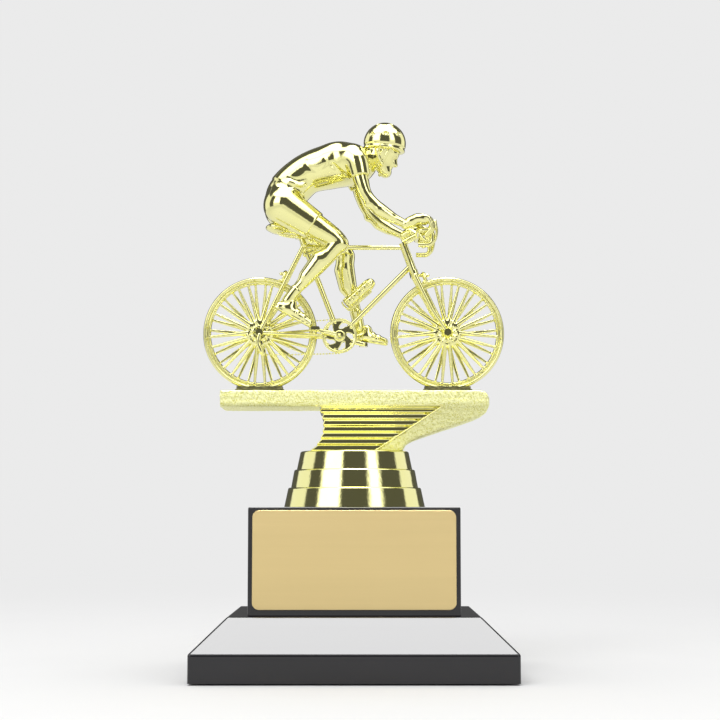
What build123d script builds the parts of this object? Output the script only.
from build123d import *
import math
import os

# Figure trophy: a cyclist on a swept platform, a three-tier riser, a block with a name plate and a bevelled
# slab.
# Millimetres. +Z up, the cyclist rides towards +X, the name plate faces -Y. The origin is on the surface that
# the trophy stands on, on the axis of the threaded rod that holds the stack together.

# Base stack
FELT_THICKNESS = 0.6
FELT_INSET = 4.0
SLAB_WIDTH = 113.0
SLAB_DEPTH = 90.0
SLAB_TOP = 22.2
BEVEL_RISE = 12.0
BEVEL_ANGLE = 46.0
SLAB_EDGE_ROUND = 1.2
BLOCK_WIDTH = 74.7
BLOCK_DEPTH = 56.0
BLOCK_TOP = 60.1
BLOCK_EDGE_ROUND = 0.5
PLATE_WIDTH = 71.5
PLATE_HEIGHT = 34.7
PLATE_CENTRE_Z = 41.7
PLATE_CORNER = 2.5
PLATE_THICKNESS = 0.6
PLATE_EDGE_BREAK = 0.15
TAPE_THICKNESS = 0.15

# Threaded rod and its nuts
ROD_RADIUS = 3.0
ROD_BOTTOM = 3.0
ROD_TOP = 76.0
ROD_CHAMFER = 0.6
ROD_HOLE_RADIUS = 3.3
NUT_ACROSS_FLATS = 10.0
NUT_HEIGHT = 5.0
NUT_FIT = 0.02
SWIVEL_FIT = 0.05
WASHER_RADIUS = 7.0
WASHER_THICKNESS = 1.2
COUNTERBORE_RADIUS = 9.0
COUNTERBORE_TOP = 10.0
CAPTIVE_NUT_Z = 70.0

# Three-tier riser
RISER_GAP = 0.15
RISER_BOTTOM = BLOCK_TOP + RISER_GAP
TIER_TOPS = [67.3, 73.9, 80.6]
TIER_BOTTOM_RADII = [25.9, 23.4, 21.3]
TIER_TOP_RADII = [24.4, 22.2, 19.9]
TIER_ROUND = 0.7
RISER_WALL = 2.4
ROD_HOLE_ROOF = 3.6
BOSS_RADIUS = 8.0
BOSS_BOTTOM = 62.0

# Swept platform and its ribbed wedge
PLATFORM_TOP = 102.5
PLATFORM_UNDERSIDE = 96.4
PLATFORM_LEFT = -48.9
PLATFORM_RIGHT = 49.0
PLATFORM_HALF_DEPTH = 14.0
FOOT_HALF_DEPTH = 7.5
WEDGE_LEFT = -14.2
WEDGE_WAIST = -11.6
WEDGE_FOOT_LEFT = -16.5
WEDGE_FOOT_RIGHT = 7.6
WEDGE_TIP = 31.7
SWEEP_FOOT = 17.6
SWEEP_UNDERSIDE = [(31.6, 87.9), (20.5, 84.0)]
PLATFORM_CORNER = 1.5
NOSE_LENGTH = 2.5
NOSE_HEIGHT = 8.6
WEDGE_OVERLAP = 2.0
WEDGE_WAIST_RISE = 1.0
FLARE_LIP = 1.0
FLARE_TANGENTS = [(0.2, 1), (0.8, 1)]
RIB_COUNT = 7
RIB_SHARE = 0.5
RIB_DEPTH = 0.7
SHOE_HALF_LENGTH = 9.0
SHOE_HALF_DEPTH = 3.4
SHOE_HEIGHT = 2.2
SHOE_STEPS = 2

# Wheels
AXLE_Z = 124.5
REAR_AXLE_X = -35.15
FRONT_AXLE_X = 34.4
WHEEL_RADIUS = 21.2
TYRE_HALF_WIDTH = 1.7
TYRE_HALF_HEIGHT = 0.8
RIM_HALF_WIDTH = 1.3
RIM_INNER_RADIUS = 18.3
RIM_OUTER_RADIUS = 19.8
HUB_RADIUS = 3.2
HUB_HALF_WIDTH = 2.9
LOBE_RING_RADIUS = 3.8
LOBE_RADIUS = 0.9
SPOKE_PAIRS = 9
SPOKE_PAIR_SPREAD = 5.6
SPOKE_ROOT_RADIUS = 0.75
SPOKE_TIP_RADIUS = 0.4
NEAR_FAN_START = 70.0
FAR_FAN_START = 90.0
AXLE_RADIUS = 0.9
AXLE_HALF_LENGTH = 5.6
AXLE_CAP_RADIUS = 1.5
AXLE_CAP_LENGTH = 0.6
AXLE_CAP_TAPER = 15
STAY_SPREAD = 4.2

# Bicycle frame, centre lines in the plane y = 0 unless a side is given
BRACKET = Vector(-5.55, 0, 123.25)
SEAT_CLUSTER = Vector(-19.1, 0, 158.3)
HEAD_TOP = Vector(18.0, 0, 158.6)
HEAD_BOTTOM = Vector(21.9, 0, 147.8)
TOP_TUBE_REAR = Vector(-18.5, 0, 156.9)
TOP_TUBE_FRONT = Vector(18.4, 0, 156.9)
DOWN_TUBE_TOP = Vector(20.6, 0, 149.6)
SADDLE_CLAMP = Vector(-20.2, 0, 161.2)
FORK_CROWN = Vector(22.5, 0, 145.8)
FORK_BEND = Vector(28.7, 0, 133.0)
TUBE_RADIUS = 1.0
TOP_TUBE_RADIUS = 0.85
HEAD_TUBE_RADIUS = 1.5
CROWN_ROUND = 1.35
STAY_RADIUS = 0.7
FORK_RADII = [1.05, 0.85, 0.7]
SLEEVE_SHARE = 0.8
BRACKET_RADIUS = 2.3
BRACKET_HALF_WIDTH = 3.4
SPINDLE_RADIUS = 0.9
SPINDLE_HALF_LENGTH = 6.4

# Drive
CHAINRING_RADIUS = 6.5
CHAINRING_RIM = 1.1
CHAINRING_Y = 4.3
CHAINRING_THICKNESS = 0.9
CHAINRING_ARMS = 5
CRANK_LENGTH = 9.1
CRANK_ANGLE = 166.3
CRANK_Y = 5.7
CRANK_THICKNESS = 1.1
CRANK_EYE_RADIUS = 1.7
PEDAL_EYE_RADIUS = 1.2
PEDAL_REACH = 5.0
PEDAL_LENGTH = 3.2
PEDAL_THICKNESS = 1.3
PEDAL_ROUND = 0.5
SPROCKET_RADIUS = 2.9
SPROCKET_THICKNESS = 0.4
WASHER_GAP = 0.05
CHAIN_HEIGHT = 0.8
CHAIN_THICKNESS = 0.5
CHAIN_Y = 3.3
CHAIN_LOWER_Z = 116.3
DERAILLEUR_Y = 5.0
DERAILLEUR_PLATE = 0.9

# Handlebar, saddle, brakes and bottle
BAR_CENTRE = Vector(23.4, 0, 161.4)
BAR_HALF_WIDTH = 12.0
BAR_REACH = 5.2
BAR_DROP = 5.4
BAR_RADIUS = 0.9
BAR_BEND = 1.9
HOOD_LEAN = 1.4
HOOD_HEIGHT = 2.6
HOOD_RADII = [1.5, 1.2]
SADDLE_REAR = Vector(-33.2, 0, 165.0)
SADDLE_NOSE = Vector(-12.4, 0, 160.4)
SADDLE_REAR_HALF_WIDTH = 5.2
SADDLE_NOSE_HALF_WIDTH = 1.4
SADDLE_THICKNESS = 3.0
SADDLE_NOSE_THICKNESS = 1.8
SADDLE_REAR_ROUND = 1.35
SADDLE_NOSE_ROUND = 0.75
FRONT_BRAKE = Vector(26.2, 0, 145.4)
REAR_BRAKE = Vector(-26.4, 0, 146.0)
BRAKE_WIDTH = 4.4
BRAKE_ROUND = 0.7
TYRE_CLEARANCE = 0.2
BRAKE_HEIGHT = 4.0
BOTTLE_BOTTOM = Vector(-3.4, 0, 135.3)
BOTTLE_TOP = Vector(7.2, 0, 144.6)
BOTTLE_RADIUS = 2.2
BOTTLE_SEGMENTS = 4
BOTTLE_WAIST = 0.85
CAGE_WALL = 0.4
CAGE_SHARE = 0.45

# Rider
SPINE = [(-28.2, 171.2), (-25.6, 177.4), (-18.2, 184.6), (-9.0, 187.6), (-0.6, 188.2), (3.6, 188.6)]
TORSO_HALF_DEPTHS = [5.4, 7.4, 7.3, 7.9, 7.2, 5.2]
TORSO_HALF_WIDTHS = [7.0, 9.2, 8.4, 9.6, 9.4, 6.6]
NECK_END = Vector(9.6, 0, 190.6)
NECK_RADIUS = 4.2
HEAD_CENTRE = Vector(11.6, 0, 193.8)
JAW = Vector(12.6, 0, 188.4)
HEAD_RADII = [6.2, 4.6]
HELMET_CENTRE = Vector(11.3, 0, 196.4)
HELMET_RADIUS = 8.0
HELMET_HALF_WIDTH = 7.2
HELMET_RIM_Z = 193.4
HELMET_RIM_TILT = 6.0
SHOULDER = Vector(0.4, 10.2, 188.3)
ELBOW = Vector(6.1, 13.0, 172.2)
WRIST = Vector(19.0, 12.4, 162.6)
PALM = Vector(22.6, 12.2, 164.0)
KNUCKLES = Vector(26.6, 12.2, 163.2)
ARM_RADII = [4.2, 2.6, 1.8]
HAND_RADII = [2.5, 3.2]
HIP = Vector(-26.4, 6.6, 171.6)
NEAR_KNEE = Vector(-5.4, 8.2, 157.6)
NEAR_ANKLE = Vector(-24.2, 8.8, 136.6)
FAR_KNEE = Vector(-3.9, 8.2, 156.4)
FAR_ANKLE = Vector(1.4, 8.8, 129.2)
LEG_RADII = [6.4, 3.7, 2.1]
NEAR_HEEL = Vector(-27.2, 8.9, 133.0)
NEAR_TOE = Vector(-16.8, 8.9, 127.6)
FAR_HEEL = Vector(2.4, 8.9, 123.6)
FAR_TOE = Vector(11.2, 8.9, 122.2)
SHOE_RADII = [2.4, 1.7]
JOINT_COVER = 0.98

NEAR, FAR = -1, 1
SIDE_NAMES = {NEAR: "near", FAR: "far"}
REAR_AXLE = Vector(REAR_AXLE_X, 0, AXLE_Z)
FRONT_AXLE = Vector(FRONT_AXLE_X, 0, AXLE_Z)

finished = {}


def on_side(point, side):
    """The same point on the near (-Y) or the far (+Y) side."""
    return Vector(point.X, side * abs(point.Y), point.Z)


def at_y(point, y):
    """The same point moved to another y."""
    return Vector(point.X, y, point.Z)


def polar(radius, angle, y):
    """A step in the plane of a wheel, at an angle above +X, with a shift along Y."""
    turn = math.radians(angle)
    return Vector(radius * math.cos(turn), y, radius * math.sin(turn))


def side_plane(centre, side, distance=0.0):
    """A sketch plane that faces out to one side of the bicycle, at a distance from its middle."""
    return Plane(origin=at_y(centre, side * distance), x_dir=(1, 0, 0), z_dir=(0, side, 0))


def finish(piece, label, cut_by=()):
    """Cut a piece back by the finished pieces it meets, label it, keep it and write its STEP file."""
    if cut_by:
        with piece:
            add([finished[neighbour] for neighbour in cut_by], mode=Mode.SUBTRACT)
    piece.part.label = label
    export_step(piece.part, f"parts/{label}.step")
    finished[label] = piece.part


def tube(label, start, end, radius, cut_by=()):
    """A straight round tube."""
    with BuildPart() as piece:
        with BuildSketch(Plane(origin=start, z_dir=end - start)):
            Circle(radius)
        extrude(amount=(end - start).length)
    finish(piece, label, cut_by)


def limb(label, joints, radii, cut_by=()):
    """A closed limb: round joints with a straight taper between each two."""
    with BuildPart() as piece:
        for index in range(len(joints) - 1):
            direction = joints[index + 1] - joints[index]
            for end in (index, index + 1):
                with BuildSketch(Plane(origin=joints[end], z_dir=direction)):
                    Circle(radii[end] * JOINT_COVER)
            loft()
        for joint, radius in zip(joints, radii):
            with Locations(joint):
                Sphere(radius)
    finish(piece, label, cut_by)


def axle(label, centre):
    """A pin through a hub with a wider cap at each end."""
    with BuildPart() as piece:
        with BuildSketch(side_plane(centre, FAR)):
            Circle(AXLE_RADIUS)
        extrude(amount=AXLE_HALF_LENGTH, both=True)
        for side in (NEAR, FAR):
            with BuildSketch(side_plane(centre, side, AXLE_HALF_LENGTH - AXLE_CAP_LENGTH)):
                Circle(AXLE_CAP_RADIUS)
            extrude(amount=AXLE_CAP_LENGTH, taper=AXLE_CAP_TAPER)
    finish(piece, label)


# Base stack


def felt_pad():
    """Thin pad under the slab, open around the nut."""
    with BuildPart() as piece:
        with BuildSketch():
            RectangleRounded(SLAB_WIDTH - 2 * FELT_INSET, SLAB_DEPTH - 2 * FELT_INSET, FELT_INSET)
            Circle(COUNTERBORE_RADIUS, mode=Mode.SUBTRACT)
        extrude(amount=FELT_THICKNESS)
    finish(piece, "felt_pad")


def base_slab():
    """Wide slab: an upright edge below a 45 degree bevel on all four sides."""
    edge_top = SLAB_TOP - BEVEL_RISE
    with BuildPart() as piece:
        with BuildSketch(Plane.XY.offset(FELT_THICKNESS)):
            Rectangle(SLAB_WIDTH, SLAB_DEPTH)
        extrude(amount=edge_top - FELT_THICKNESS)
        with BuildSketch(Plane.XY.offset(edge_top)):
            Rectangle(SLAB_WIDTH, SLAB_DEPTH)
        extrude(amount=BEVEL_RISE, taper=BEVEL_ANGLE)
        sharp = piece.edges().filter_by(lambda edge: edge.center().Z > FELT_THICKNESS + 1)
        fillet(sharp, SLAB_EDGE_ROUND)
        with Locations((0, 0, SLAB_TOP)):
            Hole(ROD_HOLE_RADIUS)
        with BuildSketch(Plane.XY.offset(FELT_THICKNESS)):
            Circle(COUNTERBORE_RADIUS)
        extrude(amount=COUNTERBORE_TOP - FELT_THICKNESS, mode=Mode.SUBTRACT)
    finish(piece, "base_slab")


def upper_block():
    """Block that carries the plate."""
    with BuildPart() as piece:
        with BuildSketch(Plane.XY.offset(SLAB_TOP)):
            Rectangle(BLOCK_WIDTH, BLOCK_DEPTH)
        extrude(amount=BLOCK_TOP - SLAB_TOP)
        fillet(piece.edges().filter_by(Axis.Z), BLOCK_EDGE_ROUND)
        fillet(piece.faces().sort_by(Axis.Z)[-1].edges(), BLOCK_EDGE_ROUND)
        with Locations((0, 0, BLOCK_TOP)):
            Hole(ROD_HOLE_RADIUS)
    finish(piece, "upper_block")


def name_plate():
    """Thin plate with round corners, and the adhesive film behind it."""
    face_y = -BLOCK_DEPTH / 2
    film = Plane(origin=(0, face_y, PLATE_CENTRE_Z), x_dir=(1, 0, 0), z_dir=(0, -1, 0))
    with BuildPart() as tape:
        with BuildSketch(film):
            RectangleRounded(PLATE_WIDTH - 1, PLATE_HEIGHT - 1, PLATE_CORNER)
        extrude(amount=TAPE_THICKNESS)
    finish(tape, "plate_tape")
    with BuildPart() as plate:
        with BuildSketch(film.offset(TAPE_THICKNESS)):
            RectangleRounded(PLATE_WIDTH, PLATE_HEIGHT, PLATE_CORNER)
        extrude(amount=PLATE_THICKNESS)
        chamfer(plate.faces().sort_by(Axis.Y)[0].edges(), PLATE_EDGE_BREAK)
    finish(plate, "name_plate")


def tie_rod():
    """Threaded rod through the whole base into the riser, at its thread's outer size."""
    with BuildPart() as piece:
        with BuildSketch(Plane.XY.offset(ROD_BOTTOM)):
            Circle(ROD_RADIUS)
        extrude(amount=ROD_TOP - ROD_BOTTOM)
        chamfer(piece.edges().filter_by(GeomType.CIRCLE), ROD_CHAMFER)
    finish(piece, "tie_rod")


def hex_nut(label, bottom, bore):
    """Hexagon nut round the rod."""
    with BuildPart() as piece:
        with BuildSketch(Plane.XY.offset(bottom)):
            RegularPolygon(NUT_ACROSS_FLATS / 2, 6, major_radius=False)
            Circle(bore, mode=Mode.SUBTRACT)
        extrude(amount=NUT_HEIGHT)
    finish(piece, label)


def rod_washer():
    """Washer between the lower nut and the counterbore's roof."""
    with BuildPart() as piece:
        with BuildSketch(Plane.XY.offset(COUNTERBORE_TOP - WASHER_THICKNESS)):
            Circle(WASHER_RADIUS)
            Circle(ROD_HOLE_RADIUS, mode=Mode.SUBTRACT)
        extrude(amount=WASHER_THICKNESS)
    finish(piece, "rod_washer")


# Riser and platform


def riser_cup():
    """Hollow riser of three cones with a rounded step above each, and a boss that holds the captive nut."""
    roof = TIER_TOPS[-1] - RISER_WALL
    roof_radius = TIER_TOP_RADII[-1] - RISER_WALL
    mouth_radius = TIER_BOTTOM_RADII[0] - RISER_WALL
    inside = [(0, roof), (roof_radius, roof), (mouth_radius, RISER_BOTTOM)]
    rims = list(zip(TIER_TOP_RADII, TIER_TOPS))
    steps = [(TIER_BOTTOM_RADII[0], RISER_BOTTOM)]
    for index, top in enumerate(TIER_TOPS):
        steps.append((TIER_TOP_RADII[index], top))
        if index + 1 < len(TIER_TOPS):
            steps.append((TIER_BOTTOM_RADII[index + 1], top))
    with BuildPart() as piece:
        with BuildSketch(Plane.XZ) as profile:
            with BuildLine():
                Polyline(*inside, *steps, (0, TIER_TOPS[-1]), close=True)
            make_face()
            corners = profile.vertices().filter_by(lambda v: (round(v.X, 3), round(v.Y, 3)) in rims)
            fillet(corners, TIER_ROUND)
        revolve(axis=Axis.Z)
        with BuildSketch(Plane.XY.offset(BOSS_BOTTOM)):
            Circle(BOSS_RADIUS)
        extrude(amount=roof - BOSS_BOTTOM)
        with BuildSketch(Plane.XY.offset(BOSS_BOTTOM)):
            Circle(ROD_HOLE_RADIUS)
        extrude(amount=TIER_TOPS[-1] - ROD_HOLE_ROOF - BOSS_BOTTOM, mode=Mode.SUBTRACT)
    finish(piece, "riser_cup", ["captive_nut"])


def flare_outline():
    """The pedestal seen along X: narrow on the riser, wide under the platform."""
    foot = (FOOT_HALF_DEPTH, TIER_TOPS[-1])
    neck = (PLATFORM_HALF_DEPTH - FLARE_LIP, PLATFORM_UNDERSIDE)
    with BuildSketch(Plane.YZ) as outline:
        with BuildLine():
            Line((0, TIER_TOPS[-1]), foot)
            Spline(foot, neck, tangents=FLARE_TANGENTS)
            Polyline(
                neck,
                (PLATFORM_HALF_DEPTH, PLATFORM_UNDERSIDE + FLARE_LIP),
                (PLATFORM_HALF_DEPTH, PLATFORM_TOP),
                (0, PLATFORM_TOP),
                (0, TIER_TOPS[-1]),
            )
        make_face()
        mirror(about=Plane.YZ)
    return outline.sketch


def wedge_outline():
    """The wedge seen along Y: a hollow left edge, and a slanting right edge under the tip."""
    foot_z = TIER_TOPS[-1]
    with BuildSketch(Plane.XZ) as outline:
        with BuildLine():
            Polyline(
                (WEDGE_LEFT, PLATFORM_UNDERSIDE),
                (WEDGE_TIP, PLATFORM_UNDERSIDE),
                (WEDGE_FOOT_RIGHT, foot_z),
                (WEDGE_FOOT_LEFT, foot_z),
            )
            ThreePointArc(
                (WEDGE_FOOT_LEFT, foot_z),
                (WEDGE_WAIST, (foot_z + PLATFORM_UNDERSIDE) / 2 + WEDGE_WAIST_RISE),
                (WEDGE_LEFT, PLATFORM_UNDERSIDE),
            )
        make_face()
    return outline.sketch


def ribbed_wedge():
    """Wedge under the platform with level ribs along its front and back."""
    pitch = (PLATFORM_UNDERSIDE - TIER_TOPS[-1]) / RIB_COUNT
    widening = PLATFORM_HALF_DEPTH - FOOT_HALF_DEPTH
    with BuildPart() as piece:
        extrude(wedge_outline(), amount=PLATFORM_HALF_DEPTH, both=True)
        extrude(flare_outline(), amount=SLAB_WIDTH, both=True, mode=Mode.INTERSECT)
        for index in range(RIB_COUNT):
            core_half = FOOT_HALF_DEPTH - RIB_DEPTH + widening * index / RIB_COUNT
            with BuildSketch(Plane.XY.offset(TIER_TOPS[-1] + (index + RIB_SHARE / 2) * pitch)):
                Rectangle(SLAB_WIDTH, SLAB_DEPTH)
                Rectangle(SLAB_WIDTH, 2 * core_half, mode=Mode.SUBTRACT)
            extrude(amount=pitch * (1 - RIB_SHARE), mode=Mode.SUBTRACT)
    finish(piece, "ribbed_wedge")


def figure_platform():
    """Platform that ends in a round nose and sweeps back down to the riser, around the wedge."""
    nose_top = (PLATFORM_RIGHT - NOSE_LENGTH, PLATFORM_TOP)
    nose = (PLATFORM_RIGHT, PLATFORM_TOP - NOSE_HEIGHT / 2)
    nose_under = (PLATFORM_RIGHT - NOSE_LENGTH, PLATFORM_TOP - NOSE_HEIGHT)
    foot = (SWEEP_FOOT, TIER_TOPS[-1])
    inner_x = WEDGE_FOOT_RIGHT - WEDGE_OVERLAP
    with BuildPart() as piece:
        with BuildSketch(Plane.XZ):
            with BuildLine():
                Polyline(
                    foot,
                    (inner_x, TIER_TOPS[-1]),
                    (inner_x, PLATFORM_UNDERSIDE),
                    (PLATFORM_LEFT, PLATFORM_UNDERSIDE),
                    (PLATFORM_LEFT, PLATFORM_TOP),
                    nose_top,
                )
                ThreePointArc(nose_top, nose, nose_under)
                Spline(nose_under, *SWEEP_UNDERSIDE, foot)
            make_face()
            add(wedge_outline(), mode=Mode.SUBTRACT)
        extrude(amount=PLATFORM_HALF_DEPTH, both=True)
        extrude(flare_outline(), amount=SLAB_WIDTH, both=True, mode=Mode.INTERSECT)
        uprights = piece.edges().filter_by(Axis.Z).filter_by(lambda edge: edge.center().X < PLATFORM_LEFT + 1)
        fillet(uprights, PLATFORM_CORNER)
    finish(piece, "figure_platform")


def wheel_shoe(label, centre):
    """Stepped shoe that cradles a tyre."""
    with BuildPart() as piece:
        for index in range(SHOE_STEPS):
            step_height = SHOE_HEIGHT / SHOE_STEPS
            with BuildSketch(Plane(origin=(centre.X, 0, PLATFORM_TOP + index * step_height))):
                Rectangle(2 * (SHOE_HALF_LENGTH - index / 2), 2 * (SHOE_HALF_DEPTH - index / 2))
            extrude(amount=step_height)
        with BuildSketch(side_plane(centre, FAR)):
            Circle(WHEEL_RADIUS)
        extrude(amount=TYRE_HALF_WIDTH, both=True, mode=Mode.SUBTRACT)
    finish(piece, label)


# Wheels


def wheel(label, centre):
    """Tyre ring and rim in one, a lobed hub, and two fans of paired spokes, the far fan half a step round."""
    section = Plane(origin=centre, x_dir=(0, 1, 0), z_dir=(1, 0, 0))
    rim_middle = (RIM_OUTER_RADIUS + RIM_INNER_RADIUS) / 2
    rim_height = RIM_OUTER_RADIUS - RIM_INNER_RADIUS
    lobes = []
    spokes = []
    for side, start_angle in ((NEAR, NEAR_FAN_START), (FAR, FAR_FAN_START)):
        for pair in range(SPOKE_PAIRS):
            middle = start_angle + pair * 360 / SPOKE_PAIRS
            lobes.append(centre + polar(LOBE_RING_RADIUS, middle, side * (HUB_HALF_WIDTH - LOBE_RADIUS)))
            for angle in (middle - SPOKE_PAIR_SPREAD, middle + SPOKE_PAIR_SPREAD):
                root = centre + polar(HUB_RADIUS / 2, angle, side * (HUB_HALF_WIDTH - LOBE_RADIUS))
                tip = centre + polar(rim_middle, angle, side * RIM_HALF_WIDTH / 2)
                spokes.append(Plane(origin=root, z_dir=tip - root))
    with BuildPart() as piece:
        with BuildSketch(section):
            with Locations((0, WHEEL_RADIUS - TYRE_HALF_HEIGHT)):
                Ellipse(TYRE_HALF_WIDTH, TYRE_HALF_HEIGHT)
            with Locations((0, rim_middle)):
                Rectangle(2 * RIM_HALF_WIDTH, rim_height)
        revolve(axis=Axis(centre, (0, 1, 0)))
        with BuildSketch(side_plane(centre, FAR)):
            Circle(HUB_RADIUS)
        extrude(amount=HUB_HALF_WIDTH - LOBE_RADIUS / 2, both=True)
        with Locations(*spokes):
            length = (tip - root).length
            Cone(SPOKE_ROOT_RADIUS, SPOKE_TIP_RADIUS, length, align=(Align.CENTER, Align.CENTER, Align.MIN))
        with Locations(*lobes):
            Sphere(LOBE_RADIUS)
        with BuildSketch(side_plane(centre, FAR)):
            Circle(AXLE_RADIUS)
        extrude(amount=AXLE_HALF_LENGTH, both=True, mode=Mode.SUBTRACT)
    finish(piece, label)


# Bicycle


def frame_tubes():
    """The frame, each tube cut back by the ones it meets."""
    with BuildPart() as shell:
        with BuildSketch(side_plane(BRACKET, FAR)):
            Circle(BRACKET_RADIUS)
            Circle(SPINDLE_RADIUS, mode=Mode.SUBTRACT)
        extrude(amount=BRACKET_HALF_WIDTH, both=True)
    finish(shell, "bottom_bracket")
    with BuildPart() as spindle:
        with BuildSketch(side_plane(BRACKET, FAR)):
            Circle(SPINDLE_RADIUS)
        extrude(amount=SPINDLE_HALF_LENGTH, both=True)
    finish(spindle, "crank_spindle")
    centre_pieces = ["bottom_bracket", "crank_spindle"]
    tube("seat_tube", BRACKET, SEAT_CLUSTER, TUBE_RADIUS, centre_pieces)
    tube("head_tube", HEAD_BOTTOM, HEAD_TOP, HEAD_TUBE_RADIUS)
    tube("top_tube", TOP_TUBE_REAR, TOP_TUBE_FRONT, TOP_TUBE_RADIUS, ["seat_tube", "head_tube"])
    tube("down_tube", BRACKET, DOWN_TUBE_TOP, TUBE_RADIUS, [*centre_pieces, "seat_tube", "head_tube"])
    tube("seat_post", SEAT_CLUSTER, SADDLE_CLAMP, TUBE_RADIUS * SLEEVE_SHARE)
    for side in (NEAR, FAR):
        name = SIDE_NAMES[side]
        dropout = at_y(REAR_AXLE, side * STAY_SPREAD)
        lug = at_y(SEAT_CLUSTER - Vector(0, 0, STAY_RADIUS), side * (TUBE_RADIUS + STAY_RADIUS))
        shell_side = at_y(BRACKET, side * (BRACKET_HALF_WIDTH - STAY_RADIUS))
        tube(f"{name}_seat_stay", dropout, lug, STAY_RADIUS, ["rear_axle", "seat_tube"])
        neighbours = ["rear_axle", f"{name}_seat_stay", "seat_tube", *centre_pieces]
        tube(f"{name}_chain_stay", dropout, shell_side, STAY_RADIUS, neighbours)


def fork():
    """Crown under the head tube and two raked blades."""
    blade_spread = STAY_SPREAD - STAY_RADIUS
    with BuildPart() as crown:
        with BuildSketch(Plane(origin=FORK_CROWN, z_dir=HEAD_BOTTOM - FORK_CROWN)):
            RectangleRounded(2 * HEAD_TUBE_RADIUS, 2 * (blade_spread + STAY_RADIUS), CROWN_ROUND)
        extrude(amount=(HEAD_BOTTOM - FORK_CROWN).length)
    finish(crown, "fork_crown", ["head_tube"])
    for side in (NEAR, FAR):
        joints = [
            at_y(FORK_CROWN, side * blade_spread),
            at_y(FORK_BEND, side * (blade_spread + STAY_RADIUS / 2)),
            at_y(FRONT_AXLE, side * STAY_SPREAD),
        ]
        limb(f"{SIDE_NAMES[side]}_fork_blade", joints, FORK_RADII, ["front_axle", "fork_crown"])


def chainring():
    """Toothless ring on five arms, pierced between them."""
    with BuildPart() as piece:
        with BuildSketch(side_plane(BRACKET, NEAR, CHAINRING_Y - CHAINRING_THICKNESS / 2)):
            Circle(CHAINRING_RADIUS)
            Circle(CHAINRING_RADIUS - CHAINRING_RIM, mode=Mode.SUBTRACT)
            Circle(CHAINRING_RIM * 2)
            with PolarLocations(CHAINRING_RADIUS / 2, CHAINRING_ARMS):
                Rectangle(CHAINRING_RADIUS - CHAINRING_RIM, CHAINRING_RIM)
            Circle(SPINDLE_RADIUS, mode=Mode.SUBTRACT)
        extrude(amount=CHAINRING_THICKNESS)
    finish(piece, "chainring")


def crank_and_pedal(side, angle):
    """One crank arm with round ends, and the pedal that it carries."""
    reach = polar(CRANK_LENGTH, angle, 0)
    inner_y = CRANK_Y - CRANK_THICKNESS / 2
    plane = side_plane(BRACKET, side, inner_y)
    end = plane.to_local_coords(at_y(BRACKET + reach, side * inner_y))
    with BuildPart() as crank:
        with BuildSketch(plane):
            Circle(CRANK_EYE_RADIUS)
            with Locations((end.X, end.Y)):
                Circle(PEDAL_EYE_RADIUS)
            with Locations((end.X / 2, end.Y / 2)):
                Rectangle(CRANK_LENGTH, CRANK_EYE_RADIUS, rotation=math.degrees(math.atan2(end.Y, end.X)))
            Circle(SPINDLE_RADIUS, mode=Mode.SUBTRACT)
        extrude(amount=CRANK_THICKNESS)
    finish(crank, f"{SIDE_NAMES[side]}_crank")
    with BuildPart() as pedal:
        with BuildSketch(side_plane(BRACKET + reach, side, inner_y + CRANK_THICKNESS)):
            RectangleRounded(PEDAL_LENGTH, PEDAL_THICKNESS, PEDAL_ROUND)
        extrude(amount=PEDAL_REACH)
    finish(pedal, f"{SIDE_NAMES[side]}_pedal")


def chain_line():
    """Sprocket, derailleur, and the upper and lower runs of the chain."""
    with BuildPart() as sprocket:
        with BuildSketch(side_plane(REAR_AXLE, NEAR, HUB_HALF_WIDTH + WASHER_GAP)):
            Circle(SPROCKET_RADIUS)
        extrude(amount=SPROCKET_THICKNESS)
    finish(sprocket, "rear_sprocket", ["rear_axle", "near_seat_stay", "near_chain_stay"])

    cage_height = 2 * CHAIN_HEIGHT + DERAILLEUR_PLATE
    cage_centre = Vector(REAR_AXLE_X + DERAILLEUR_PLATE, 0, CHAIN_LOWER_Z + cage_height / 2)
    hanger_length = AXLE_Z - cage_centre.Z
    with BuildPart() as derailleur:
        with BuildSketch(side_plane(REAR_AXLE, NEAR, DERAILLEUR_Y)):
            Circle(AXLE_CAP_RADIUS)
            with Locations((0, -hanger_length / 2)):
                Rectangle(DERAILLEUR_PLATE, hanger_length)
        extrude(amount=DERAILLEUR_PLATE)
        with BuildSketch(side_plane(cage_centre, NEAR, CHAIN_Y - CHAIN_THICKNESS)):
            RectangleRounded(2 * CHAIN_Y, cage_height, CHAIN_HEIGHT / 2)
        extrude(amount=DERAILLEUR_Y + DERAILLEUR_PLATE - CHAIN_Y + CHAIN_THICKNESS)
    finish(derailleur, "derailleur", ["rear_axle"])

    upper_front = BRACKET + Vector(0, 0, CHAINRING_RADIUS + CHAIN_HEIGHT / 2)
    upper_rear = REAR_AXLE + Vector(CHAIN_HEIGHT, 0, SPROCKET_RADIUS + CHAIN_HEIGHT / 2)
    lower_front = Vector(BRACKET.X, 0, CHAIN_LOWER_Z)
    lower_rear = Vector(cage_centre.X + CHAIN_Y, 0, CHAIN_LOWER_Z)
    with BuildPart() as chain:
        for front, rear in ((upper_front, upper_rear), (lower_front, lower_rear)):
            start = at_y(rear, -CHAIN_Y)
            run = at_y(front, -CHAINRING_Y) - start
            with BuildSketch(Plane(origin=start, x_dir=(run.cross(Vector(0, 0, 1))), z_dir=run)):
                Rectangle(CHAIN_THICKNESS, CHAIN_HEIGHT)
            extrude(amount=run.length)
    finish(chain, "chain", ["near_seat_stay", "bottom_bracket"])


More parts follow.
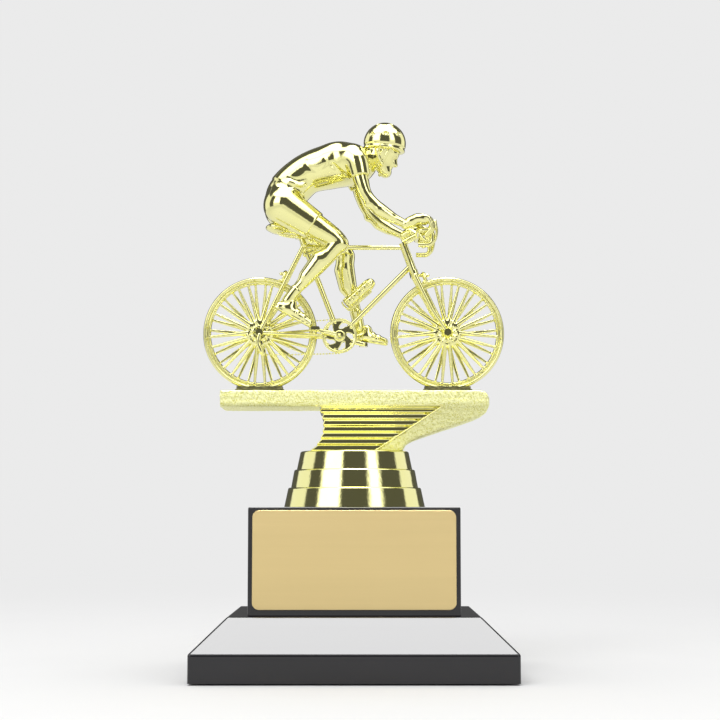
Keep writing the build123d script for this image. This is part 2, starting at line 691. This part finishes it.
def handlebar_and_stem():
    """Drop bar, stem and brake hoods."""
    with BuildPart() as bar:
        for side in (NEAR, FAR):
            tip = BAR_CENTRE + Vector(0, side * BAR_HALF_WIDTH, 0)
            front = tip + Vector(BAR_REACH, 0, 0)
            low = front - Vector(0, 0, BAR_DROP)
            back = low - Vector(BAR_REACH, 0, 0)
            with BuildLine():
                path = FilletPolyline(BAR_CENTRE, tip, front, low, back, radius=BAR_BEND)
            with BuildSketch(Plane(origin=BAR_CENTRE, z_dir=(0, side, 0))):
                Circle(BAR_RADIUS)
            sweep(path=path)
    finish(bar, "handlebar")
    tube("stem", HEAD_TOP, BAR_CENTRE, HEAD_TUBE_RADIUS * SLEEVE_SHARE, ["head_tube", "handlebar"])
    for side in (NEAR, FAR):
        root = BAR_CENTRE + Vector(BAR_REACH, side * BAR_HALF_WIDTH, BAR_RADIUS)
        tip = root + Vector(HOOD_LEAN, 0, HOOD_HEIGHT)
        limb(f"{SIDE_NAMES[side]}_brake_hood", [root, tip], HOOD_RADII, ["handlebar"])


def saddle():
    """Wedge-shaped saddle, wide at the rear."""
    run = SADDLE_NOSE - SADDLE_REAR
    with BuildPart() as piece:
        with BuildSketch(Plane(origin=SADDLE_REAR, x_dir=(0, 1, 0), z_dir=run)):
            RectangleRounded(2 * SADDLE_REAR_HALF_WIDTH, SADDLE_THICKNESS, SADDLE_REAR_ROUND)
        with BuildSketch(Plane(origin=SADDLE_NOSE, x_dir=(0, 1, 0), z_dir=run)):
            RectangleRounded(2 * SADDLE_NOSE_HALF_WIDTH, SADDLE_NOSE_THICKNESS, SADDLE_NOSE_ROUND)
        loft()
    finish(piece, "saddle", ["seat_post"])


def brake(label, centre, axle_centre, cut_by):
    """Caliper block astride a tyre."""
    with BuildPart() as piece:
        with Locations(centre):
            Box(BRAKE_WIDTH, 2 * STAY_SPREAD, BRAKE_HEIGHT)
        fillet(piece.edges(), BRAKE_ROUND)
        with BuildSketch(side_plane(axle_centre, FAR)):
            Circle(WHEEL_RADIUS + TYRE_CLEARANCE)
        extrude(amount=TYRE_HALF_WIDTH + TYRE_CLEARANCE, both=True, mode=Mode.SUBTRACT)
    finish(piece, label, cut_by)


def bottle_and_cage():
    """Ribbed bottle in a round cage on the down tube."""
    axis = BOTTLE_TOP - BOTTLE_BOTTOM
    segment = axis.length / BOTTLE_SEGMENTS
    with BuildPart() as bottle:
        with BuildSketch(Plane(origin=BOTTLE_BOTTOM, z_dir=axis)):
            Circle(BOTTLE_RADIUS * BOTTLE_WAIST)
        extrude(amount=axis.length)
        for index in range(BOTTLE_SEGMENTS):
            start = BOTTLE_BOTTOM + axis.normalized() * (index * segment)
            with BuildSketch(Plane(origin=start, z_dir=axis)):
                Circle(BOTTLE_RADIUS)
            extrude(amount=segment * SLEEVE_SHARE)
    finish(bottle, "bottle")
    with BuildPart() as cage:
        with BuildSketch(Plane(origin=BOTTLE_BOTTOM - axis.normalized() * CAGE_WALL, z_dir=axis)):
            Circle(BOTTLE_RADIUS + CAGE_WALL)
        extrude(amount=axis.length * CAGE_SHARE)
        with BuildSketch(Plane(origin=BOTTLE_BOTTOM, z_dir=axis)):
            Circle(BOTTLE_RADIUS)
        extrude(amount=axis.length, mode=Mode.SUBTRACT)
    finish(cage, "bottle_cage", ["down_tube"])


# Rider


def torso():
    """Bent torso through six oval sections along the spine, with the neck."""
    spine = [Vector(x, 0, z) for x, z in SPINE]
    with BuildPart() as piece:
        for index, centre in enumerate(spine):
            before = spine[max(index - 1, 0)]
            after = spine[min(index + 1, len(spine) - 1)]
            with BuildSketch(Plane(origin=centre, x_dir=(0, 1, 0), z_dir=after - before)):
                Ellipse(TORSO_HALF_WIDTHS[index], TORSO_HALF_DEPTHS[index])
        loft(ruled=True)
        neck_root = spine[-2]
        with BuildSketch(Plane(origin=neck_root, z_dir=NECK_END - neck_root)):
            Circle(NECK_RADIUS)
        extrude(amount=(NECK_END - neck_root).length)
    finish(piece, "rider_torso", ["saddle"])


def head_and_helmet():
    """Head with a jaw, under a domed helmet that is a little narrower than long."""
    limb("rider_head", [HEAD_CENTRE, JAW], HEAD_RADII, ["rider_torso"])
    rim = Plane(origin=(HELMET_CENTRE.X, 0, HELMET_RIM_Z)).rotated((0, HELMET_RIM_TILT, 0))
    with BuildPart() as helmet:
        with Locations(HELMET_CENTRE):
            Sphere(HELMET_RADIUS)
        split(bisect_by=rim, keep=Keep.TOP)
        with BuildSketch(Plane(origin=HELMET_CENTRE - Vector(0, 0, HELMET_RADIUS))):
            Ellipse(HELMET_RADIUS, HELMET_HALF_WIDTH)
        extrude(amount=2 * HELMET_RADIUS, mode=Mode.INTERSECT)
    finish(helmet, "helmet", ["rider_head", "rider_torso"])


def limbs(side, knee, ankle, heel, toe):
    """One side's arm, hand, shoe and leg."""
    name = SIDE_NAMES[side]
    hand_joints = [on_side(point, side) for point in (PALM, KNUCKLES)]
    limb(f"{name}_hand", hand_joints, HAND_RADII)
    arm_joints = [on_side(point, side) for point in (SHOULDER, ELBOW, WRIST)]
    limb(f"{name}_arm", arm_joints, ARM_RADII, ["rider_torso", f"{name}_hand"])
    shoe_joints = [on_side(point, side) for point in (heel, toe)]
    limb(f"{name}_shoe", shoe_joints, SHOE_RADII, [f"{name}_pedal"])
    leg_joints = [on_side(point, side) for point in (HIP, knee, ankle)]
    limb(f"{name}_leg", leg_joints, LEG_RADII, ["rider_torso", "saddle", f"{name}_shoe"])


os.makedirs("parts", exist_ok=True)

felt_pad()
base_slab()
upper_block()
name_plate()
tie_rod()
rod_washer()
hex_nut("rod_nut", COUNTERBORE_TOP - WASHER_THICKNESS - NUT_HEIGHT, ROD_RADIUS + NUT_FIT)
hex_nut("captive_nut", CAPTIVE_NUT_Z, ROD_RADIUS + SWIVEL_FIT)
riser_cup()
ribbed_wedge()
figure_platform()
for wheel_name, wheel_centre in (("rear", REAR_AXLE), ("front", FRONT_AXLE)):
    wheel_shoe(f"{wheel_name}_wheel_shoe", wheel_centre)
    wheel(f"{wheel_name}_wheel", wheel_centre)
    axle(f"{wheel_name}_axle", wheel_centre)
frame_tubes()
fork()
chainring()
crank_and_pedal(NEAR, CRANK_ANGLE)
crank_and_pedal(FAR, CRANK_ANGLE - 180)
chain_line()
handlebar_and_stem()
saddle()
brake("front_brake", FRONT_BRAKE, FRONT_AXLE, ["fork_crown", "near_fork_blade", "far_fork_blade"])
brake("rear_brake", REAR_BRAKE, REAR_AXLE, ["near_seat_stay", "far_seat_stay"])
bottle_and_cage()
torso()
head_and_helmet()
limbs(NEAR, NEAR_KNEE, NEAR_ANKLE, NEAR_HEEL, NEAR_TOE)
limbs(FAR, FAR_KNEE, FAR_ANKLE, FAR_HEEL, FAR_TOE)
